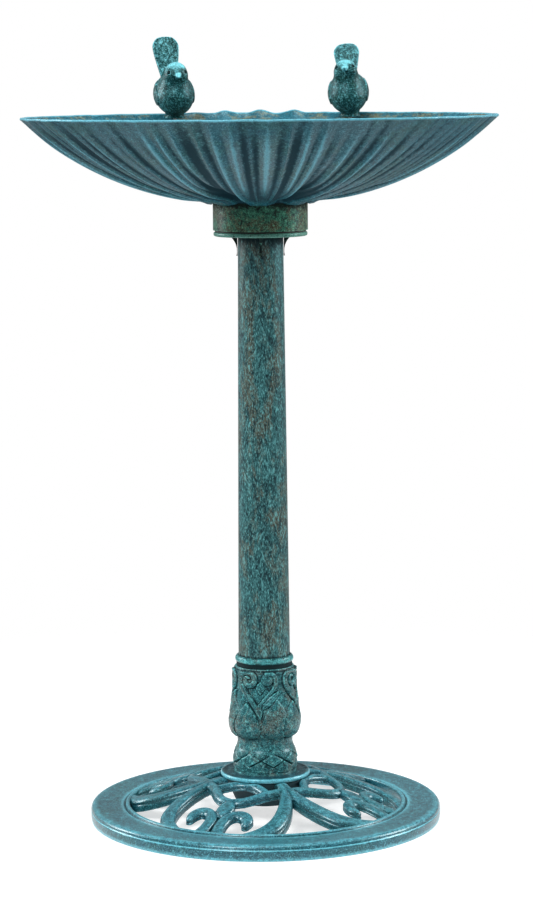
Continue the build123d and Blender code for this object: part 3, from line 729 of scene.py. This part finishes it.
def make_stem():
    low, high = corners_mm("leaf_stem")
    foot, top = low[2], high[2]
    heights = np.linspace(0, top - foot, STEM_ROWS)
    kernel = np.hanning(7)
    profile = np.interp(heights, *np.array(STEM_OUTLINE).T)
    radius = np.convolve(np.pad(profile, 3, mode="edge"), kernel / kernel.sum(), "valid")
    angle = np.linspace(0, 2 * np.pi, STEM_COLUMNS, endpoint=False)
    turn, v = np.meshgrid(angle, heights)
    body = np.repeat(radius[:, None], STEM_COLUMNS, 1)

    def across(degrees, repeats):
        """Arc length in millimetres from the nearest repeat of a motif, given in degrees from the front."""
        period = 2 * np.pi / repeats
        return ((turn - FRONT - math.radians(degrees) + period / 2) % period - period / 2) * body

    relief = np.zeros_like(turn)

    def lay(shape, low_height, high_height, edge=0.06):
        """Lays a shape of height 0 to 1 over what is there, with a step round it."""
        nonlocal relief
        inside = shape > edge
        relief = np.where(inside, np.maximum(relief * 0.3, low_height + high_height * shape), relief)

    # four veined leaves behind, and over them eight full leaves
    u = across(TALL_LEAF_AT, STEM_MOTIFS)
    lay(leaf_shape(u, v, TALL_LEAF) * (1 + 0.13 * np.cos(u * 2.6)), 0.1, 0.6)
    u = across(RIGHT_LEAF_AT, STEM_MOTIFS)
    leaf_foot = 40
    lay(leaf_shape(u, leaf_foot + (v - leaf_foot) * RIGHT_LEAF_STRETCH, FULL_LEAF), 0.8, 2.3)
    u = across(LEFT_LEAF_AT, STEM_MOTIFS)
    lay(leaf_shape(u, v, FULL_LEAF), 1.1, 2.3)
    # hearts: two stalks, the left one over into a spiral, the right one over a ball, and a bud between
    u = across(HEART_AT, STEM_MOTIFS)
    small = rounded(-bar_edge(u, v, smooth_line(SMALL_LEAF, 3)), 4.0)
    lay(small * (1 + 0.12 * np.cos((u - v) * 2.1)), 1.2, 1.9)
    lay(rounded(-bar_edge(u, v, smooth_line(WEDGE, 3)), 2.4), 1.0, 2.0)
    lay(rounded(6.4 - np.hypot(u - 7.4, v - 104.8), 6.4), 0.8, 2.4)
    lay(rounded(-bar_edge(u, v, smooth_line(HEART_RIGHT, 3)), 2.0), 1.2, 1.9)
    lay(rounded(-bar_edge(u, v, smooth_line(HEART_LEFT, 3)), 2.8), 1.2, 2.1)
    relief -= 1.0 * np.exp(-((np.hypot(u - 13.2, v - 107.4)) / 1.8) ** 2)
    lay(leaf_shape(u - 0.4, v, HEART_BUD), 1.0, 2.2)
    # overlapping scales over the foot
    near = np.abs(across(SCALES_AT, SCALES))
    further = 2 * np.pi * SCALE_RADIUS / SCALES - near
    scale = np.clip((v - 9.0 - SCALE_SLOPE * near) / 1.6, 0, 1) * (1 - smoothstep(24, 33, v))
    relief += 1.7 * scale * (v < 34)
    for reach in (near, further):
        groove = np.exp(-((v - 9.4 - SCALE_SLOPE * reach) / 0.95) ** 2)
        relief -= 1.6 * groove * (1 - smoothstep(20, 26, v))
    point = leaf_shape(across(SCALES_AT + 180 / SCALES, SCALES), v, [(2.5, 0), (4, 9), (9, 7), (15.5, 0)])
    relief += 0.9 * point * (scale < 0.02)
    relief *= smoothstep(2, 4, v) * (1 - smoothstep(112.4, 114.0, v))
    r = body + relief
    rows = list(np.stack([r * np.cos(turn), r * np.sin(turn), v + foot], -1))
    socket = corners_mm("post")[1][0] + POST_GAP
    for inner, height in ((socket, top), (socket, top - 20), (socket - 1.5, foot)):
        ring = np.stack([inner * np.cos(angle), inner * np.sin(angle), np.full_like(angle, height)], -1)
        rows.append(ring)
    piece = around("leaf_stem_cast", rows)
    # the stem's paint is made darker over its top, just under the ferrule ring
    darker_top = -0.7 * smoothstep(111.5, 113, points_of(piece)[:, 2] - foot)
    mark_relief(piece, 8, 0.5, darker_top)
    return piece


# ---------------------------------------------------------------- birds

def ball(x, y, z, centre, radii):
    """Rough distance to an ellipsoid."""
    scaled = np.sqrt(sum(((a - c) / r) ** 2 for a, c, r in zip((x, y, z), centre, radii)))
    return (scaled - 1) * min(radii)


def merge(first, second, softness):
    """Smooth union of two fields."""
    share = np.clip(0.5 + 0.5 * (second - first) / softness, 0, 1)
    return second + (first - second) * share - softness * share * (1 - share)


def make_bird(name, spot, heading, pitch, roll, look_up, tail_length):
    """Small bird on a round plinth. Angles in degrees; it faces -Y before it is turned to its heading."""
    step = 0.62
    corner, far_corner = (-27, -46, -2), (27, 50, 98)
    spans = [np.arange(low, high, step) for low, high in zip(corner, far_corner)]
    x, y, z = (a.astype(np.float32) for a in np.meshgrid(*spans, indexing="ij"))
    tilt, lean = math.radians(pitch), math.radians(roll)
    up, steep = math.radians(look_up), math.radians(70)
    pivot = 5.0
    head_y, head_z = -19.5, 50.5
    tail_y, tail_z = 18, 36

    def upright(x, y, z):
        """The bird's own coordinates: it leans about the top of the plinth, which stays level."""
        by = y * math.cos(tilt) - (z - pivot) * math.sin(tilt)
        bz = y * math.sin(tilt) + (z - pivot) * math.cos(tilt) + pivot
        bx = x * math.cos(lean) - (bz - pivot) * math.sin(lean)
        return bx, by, x * math.sin(lean) + (bz - pivot) * math.cos(lean) + pivot

    def in_head(by, bz):
        """Coordinates of the head, which looks up or down."""
        forward, above = by - head_y, bz - head_z
        hy = forward * math.cos(up) - above * math.sin(up)
        return hy, forward * math.sin(up) + above * math.cos(up)

    def in_tail(by, bz):
        """Coordinates along the tail and through it."""
        behind, above = by - tail_y, bz - tail_z
        along = behind * math.cos(steep) + above * math.sin(steep)
        return along, behind * math.sin(steep) - above * math.cos(steep)

    bx, by, bz = upright(x, y, z)
    # plump body, narrower and higher towards the tail
    narrowing = 1 - 0.016 * np.maximum(by - 2, 0)
    rise = (bz - 27.5 - 0.25 * np.maximum(by, -12)) / narrowing
    body = ball(bx / narrowing, by, rise, (0, -1, 0), (22.0, 30, 23))
    neck = ball(bx, by, bz, (0, -14, 41), (14.2, 13.0, 13.5))
    bird = merge(body, neck, 7.0)
    # head, with brow and cheeks; the beak is a small cone
    hy, hz = in_head(by, bz)
    head = ball(bx, hy, hz, (0, 0, 0), (12.6, 13.2, 12.3))
    cheeks = ball(np.abs(bx), hy, hz, (7.0, -4.0, -2.5), (5.6, 6.5, 6.0))
    head = merge(head, cheeks, 2.5)
    bird = merge(bird, head, 4.5)
    out = -hy - 10.5
    taper = np.clip(1 - out / 11.5, 0, 1) ** 0.85
    cone = np.hypot(bx, (hz + 0.6 + 0.1 * out) * 1.2) - 4.4 * taper
    beak = np.maximum(cone, np.maximum(out - 11.3, -out - 4))
    bird = merge(bird, beak, 1.2)
    gape = np.exp(-((hz + 1.4 + 0.12 * out) / 0.5) ** 2) * (out > 1.0) * 0.35
    bird = bird + gape * smoothstep(0, 3, out)
    for side in (-1, 1):
        socket = ball(bx, hy, hz, (side * 9.2, -8.0, 2.4), (2.6, 2.6, 2.6))
        bird = np.maximum(bird, -(socket + 0.5))
        bird = merge(bird, ball(bx, hy, hz, (side * 8.9, -7.6, 2.4), (1.8, 1.8, 1.8)), 0.3)
        # folded wing: flat shield that wraps the flank and stands proud, with rows of feathers
        wing_v = bz - 31.0 - 0.36 * (by - 10)
        shield = ((by - 10) / 24.0) ** 2 + (wing_v / np.where(wing_v > 0, 14.0, 13.0)) ** 2 - 1
        wing = np.maximum(body - 1.1, np.maximum(shield * 12, 8 - bx * side))
        feathers = 0.45 * np.abs(np.sin(wing_v * 0.62 + 0.05 * by)) * smoothstep(-4, 10, by)
        bird = merge(bird, wing + feathers, 0.5)
    # tail: thin fan, wider and rounded at its tip
    along, through = in_tail(by, bz)
    half_width = 8.4 + 6.4 * smoothstep(-2, 46, along)
    tip = 8.5  # rounding of the fan's corners
    past = np.hypot(np.maximum(np.abs(bx) - half_width + tip, 0),
                    np.maximum(along + 3.2 * (bx / 14) ** 2 - tail_length + tip, 0)) - tip
    shafts = 0.16 * np.abs(np.sin(bx * 0.9))
    fan = np.maximum(np.abs(through + 0.006 * bx ** 2) - 1.8 + shafts, np.maximum(past, -along - 8))
    bird = merge(bird, fan, 1.8)
    # plinth, level, with a foot flange
    plinth = np.maximum(np.hypot(x, y) - 10.3 - 0.9 * (z < 2.4), np.maximum(z - 8.0, -z))
    bird = np.maximum(merge(bird, plinth, 3.0), -z)
    points, quads = skin(bird, corner, step)
    turn = math.radians(heading)
    px, py, pz = points.T
    placed = np.stack([px * math.cos(turn) - py * math.sin(turn) + spot[0],
                       px * math.sin(turn) + py * math.cos(turn) + spot[1], pz + spot[2]], -1)
    piece = build_mesh(name, placed, quads)
    # painted highlights: the tail, crown and beak are painted pale where light catches them, and the eyes are
    # dark
    vx, vy, vz = upright(px, py, pz)
    hy, hz = in_head(vy, vz)
    along, through = in_tail(vy, vz)
    highlights_and_eyes = 0.35 * smoothstep(4, 14, along) * (np.abs(through) < 5)
    highlights_and_eyes += 0.45 * smoothstep(1, 9, hz) * (np.hypot(vx, hy) < 13)
    highlights_and_eyes += 0.8 * smoothstep(11, 14, -hy) * (np.hypot(vx, hz) < 6)
    highlights_and_eyes -= 2.0 * (np.linalg.norm([np.abs(vx) - 9.0, hy + 7.8, hz - 2.4], axis=0) < 2.0)
    mark_relief(piece, 9, 0.8, highlights_and_eyes)
    return piece


# ---------------------------------------------------------------- build

def post_relief(tree, coordinates):
    """Painted shadow under the head's flange and painted shade just above the ferrule ring."""
    post_top, ring_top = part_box("post")[1].z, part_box("ferrule_ring")[1].z
    height = height_of(tree, coordinates)
    shadow = band(tree, height, post_top - 0.018, post_top + 0.002)
    shade_above_ring = band(tree, height, ring_top + 0.004, ring_top - 0.002)
    return times(tree, calculate(tree, "ADD", shadow, shade_above_ring), -0.8)


def ferrule_relief(tree, coordinates):
    """Pale bead, and painted shade in the gap below it."""
    low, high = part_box("ferrule_ring")
    height = height_of(tree, coordinates)
    recess_shade = band(tree, height, low.z + 0.0056, low.z + 0.0042)
    bead = calculate(tree, "SUBTRACT", radius_of(tree, coordinates), high.x - 0.0016)
    return calculate(tree, "MULTIPLY_ADD", recess_shade, -2.2, times(tree, bead, 420.0))


def collar_relief(tree, coordinates):
    """Painted shade where the collar meets the bowl."""
    low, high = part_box("bowl_collar")
    height = height_of(tree, coordinates)
    shade = times(tree, band(tree, height, high.z - 0.012, high.z + 0.001), -0.75)
    return calculate(tree, "MULTIPLY_ADD", band(tree, height, low.z + 0.0012, low.z), 0.7, shade)


def head_relief(tree, coordinates):
    """Pale edge round the flange, where the paint is rubbed, and painted shade between the fins."""
    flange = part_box("post_head")[1].x
    radius = radius_of(tree, coordinates)
    edge = band(tree, radius, flange - 0.002, flange - 0.0004)
    shade = band(tree, radius, flange - 0.004, flange - 0.018)
    return calculate(tree, "MULTIPLY_ADD", shade, -0.6, edge)


bowl_paint = painted("bowl_paint", Ground=hue(8, 42, 54), Coat=hue(24, 88, 104), Patch=hue(22, 84, 82),
                     lining=hue(100, 96, 64), Brushed=hue(108, 186, 206), Brushing=0.8, Patches=0.7,
                     Patch_Size=20.0, Sponge=0.38, Speckle=0.7, gloss=0.3)
base_paint = painted("base_paint", Ground=hue(2, 14, 20), Coat=hue(8, 70, 84), Patch=hue(18, 70, 72),
                     Brushed=hue(112, 204, 222), Brushing=0.8, Patches=0.7, Patch_Size=24.0, Sponge=0.35,
                     Speckle=0.7, gloss=0.7, coat=0.35)
stem_paint = painted("stem_paint", Ground=hue(6, 22, 26), Coat=hue(36, 92, 98), Patch=hue(86, 84, 76),
                     Brushed=hue(108, 200, 202), Brushing=0.7, Patches=0.85, Patch_Size=20.0, Sponge=0.8,
                     Speckle=0.9)
bird_paint = painted("bird_paint", Ground=hue(2, 18, 20), Coat=hue(12, 60, 60), Patch=hue(26, 58, 44),
                     Brushed=hue(128, 214, 226), Brushing=0.85, Patches=0.6, Patch_Size=50.0, Sponge=0.6,
                     Speckle=0.8, gloss=0.25, coat=0.0, bump=0.8)
post_paint = painted("post_paint", where_scale=(1.0, 1.0, 0.35), relief=post_relief, Ground=hue(8, 28, 34),
                     Coat=hue(48, 92, 94), Patch=hue(80, 82, 70), Brushed=hue(104, 176, 180), Patches=0.9,
                     Patch_Size=30.0, Sponge=0.8, Speckle=1.0, coat=0.2)
collar_paint = painted("collar_paint", relief=collar_relief, Ground=hue(20, 22, 16), Coat=hue(52, 114, 92),
                       Patch=hue(86, 70, 46), Brushed=hue(112, 190, 158), Patches=0.9, Patch_Size=24.0,
                       Sponge=0.9, Speckle=0.9, gloss=0.3)
head_paint = painted("head_paint", relief=head_relief, Ground=hue(12, 22, 20), Coat=hue(46, 92, 80),
                     Patch=hue(76, 66, 46), Brushed=hue(108, 178, 162), Patches=0.9, Patch_Size=30.0,
                     Sponge=0.8, Speckle=0.9, gloss=0.3)
ferrule_paint = painted("ferrule_paint", relief=ferrule_relief, Ground=hue(2, 8, 10), Coat=hue(24, 84, 90),
                        Patch=hue(56, 74, 62), Brushed=hue(110, 212, 214), Patches=0.6, Patch_Size=40.0,
                        Sponge=0.5, Speckle=0.7)
zinc = metal_or_rubber("zinc", hue(178, 180, 178), 1.0, 0.38)
rubber = metal_or_rubber("rubber", hue(34, 36, 36), 0.0, 0.7)

for node, material in {
    "post": post_paint, "post_head": head_paint, "bowl_collar": collar_paint, "ferrule_ring": ferrule_paint,
    "seat_ring": rubber, "bird_seals": rubber, "tie_rod": zinc, "top_nut": zinc, "top_washer": zinc,
    "bottom_nut": zinc, "bottom_washer": zinc, "collar_screws": zinc, "bird_screws": zinc,
}.items():
    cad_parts[node].data.materials.clear()
    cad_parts[node].data.materials.append(material)

place(make_bowl(), "bowl", "bowl_paint", bowl_paint, "bowl")
place(make_openwork(), "stand", "base_paint", base_paint, "base")
place(make_base_ring(), "stand", "base_paint", base_paint, "base")
place(make_hub(), "stand", "base_paint", base_paint, "base")
place(make_saucer(), "stand", "base_paint", base_paint, "base_saucer")
place(make_stem(), "stand", "stem_paint", stem_paint, "leaf_stem")

# the birds stand over their seals, which are as far apart as the birds' screws
seal_low, seal_high = corners_mm("bird_seals")
SEAL = 4.4  # radius of a seal
land = corners_mm("left_bird")[0][2]
left_spot = (seal_low[0] + SEAL, seal_high[1] - SEAL, land)
right_spot = (seal_high[0] - SEAL, seal_low[1] + SEAL, land)
left_bird = make_bird("left_bird_cast", left_spot, heading=13, pitch=-2, roll=-3, look_up=-6,
                      tail_length=56.5)
right_bird = make_bird("right_bird_cast", right_spot, heading=-5, pitch=1.5, roll=-5, look_up=12,
                       tail_length=49.0)
place(left_bird, "bowl", "bird_paint", bird_paint, "left_bird")
place(right_bird, "bowl", "bird_paint", bird_paint, "right_bird")

# ---------------------------------------------------------------- floor, light and camera

def make_floor():
    """Pale round floor that fades out away from the bath."""
    half = 3.0
    fade_start, fade_end = 0.25, 1.1
    mesh = bpy.data.meshes.new("floor")
    corners = [(-half, -half, 0), (half, -half, 0), (half, half, 0), (-half, half, 0)]
    mesh.from_pydata(corners, [], [(0, 1, 2, 3)])
    piece = bpy.data.objects.new("floor", mesh)
    bpy.context.scene.collection.objects.link(piece)
    material = bpy.data.materials.new("floor_paint")
    material.use_nodes = True
    tree = material.node_tree
    shader = tree.nodes["Principled BSDF"]
    shader.inputs["Base Color"].default_value = (0.55, 0.55, 0.55, 1)
    shader.inputs["Emission Color"].default_value = (1, 1, 1, 1)
    shader.inputs["Emission Strength"].default_value = 0.6
    shader.inputs["Roughness"].default_value = 0.9
    shader.inputs["Specular IOR Level"].default_value = 0.1
    coordinates = add_node(tree, "ShaderNodeTexCoord").outputs["Object"]
    tree.links.new(band(tree, radius_of(tree, coordinates), fade_end, fade_start), shader.inputs["Alpha"])
    mesh.materials.append(material)


def make_world():
    """White surroundings, which light the bath less than they show."""
    world = bpy.data.worlds.new("studio")
    world.use_nodes = True
    tree = world.node_tree
    seen = tree.nodes["Background"]
    seen.inputs["Color"].default_value = (1, 1, 1, 1)
    seen.inputs["Strength"].default_value = 1.0
    lit = add_node(tree, "ShaderNodeBackground", {"Color": (1, 1, 1, 1), "Strength": 0.3})
    path = add_node(tree, "ShaderNodeLightPath").outputs["Is Camera Ray"]
    both = add_node(tree, "ShaderNodeMixShader", {0: path, 1: lit.outputs[0], 2: seen.outputs[0]})
    tree.links.new(both.outputs[0], tree.nodes["World Output"].inputs["Surface"])
    bpy.context.scene.world = world
    bpy.context.scene.view_settings.view_transform = "Standard"


def soft_light(name, location, target, size, power):
    lamp = bpy.data.lights.new(name, "AREA")
    lamp.shape = "DISK"
    lamp.size = size
    lamp.energy = power
    light = bpy.data.objects.new(name, lamp)
    light.location = location
    light.rotation_mode = "QUATERNION"
    light.rotation_quaternion = (Vector(target) - Vector(location)).to_track_quat("-Z", "Y")
    bpy.context.scene.collection.objects.link(light)


def make_camera():
    data = bpy.data.cameras.new("camera")
    data.lens = 115.8
    data.sensor_width = 36
    camera = bpy.data.objects.new("camera", data)
    camera.location = (0.0078, -3.069, 0.798)
    down, roll = 7.47, 0.5
    camera.rotation_mode = "XYZ"
    camera.rotation_euler = (math.radians(90 - down), math.radians(roll), 0)
    bpy.context.scene.collection.objects.link(camera)
    bpy.context.scene.camera = camera


make_floor()
make_world()
soft_light("key", (-1.3, -2.4, 2.6), (0, 0, 0.45), 1.0, 95)
soft_light("right_edge", (2.3, 0.3, 1.3), (0, 0, 0.45), 1.0, 50)
soft_light("left_edge", (-2.3, 0.9, 1.2), (0, 0, 0.45), 1.0, 42)
soft_light("overhead", (0.2, -0.3, 2.9), (0, 0, 0.4), 1.2, 34)
make_camera()
